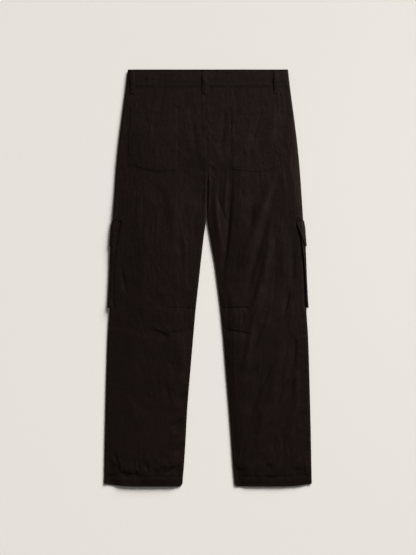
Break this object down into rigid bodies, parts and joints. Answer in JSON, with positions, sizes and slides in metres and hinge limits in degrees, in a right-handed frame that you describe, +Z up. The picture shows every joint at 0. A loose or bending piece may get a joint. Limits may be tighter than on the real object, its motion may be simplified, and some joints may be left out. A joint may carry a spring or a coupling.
{
  "type": "cargo trousers",
  "caption": "Straight-legged cargo trousers in light crinkled nylon, laid flat with the back upward, with patch pockets on the seat and flapped cargo pockets on the side seams.",
  "frame": {"origin": "middle of the laid garment's length and width, on the table that it lies on", "axes": "+X to the right over the upturned back, +Y up the garment to the waist, +Z up from the front panels to the back panels"},
  "size_m": [0.53, 1.064, 0.0122],
  "materials": {
    "nylon": "soft satin, crinkled",
    "stud_metal": "dark, satin"
  },
  "bodies": {
    "root": {"back_panel_left": "nylon", "back_panel_right": "nylon", "front_panel_left": "nylon", "front_panel_right": "nylon", "back_pocket_left": "nylon", "back_pocket_right": "nylon", "cargo_pocket_left": "nylon", "cargo_pocket_right": "nylon", "cargo_flap_left": "nylon", "cargo_flap_right": "nylon", "waistband_back": "nylon", "waistband_front_left": "nylon", "waistband_front_right": "nylon", "belt_loop_back_left": "nylon", "belt_loop_back_centre": "nylon", "belt_loop_back_right": "nylon", "belt_loop_front_left": "nylon", "belt_loop_front_right": "nylon", "fly_placket": "nylon", "waist_stud": "stud_metal"}
  },
  "joints": []
}
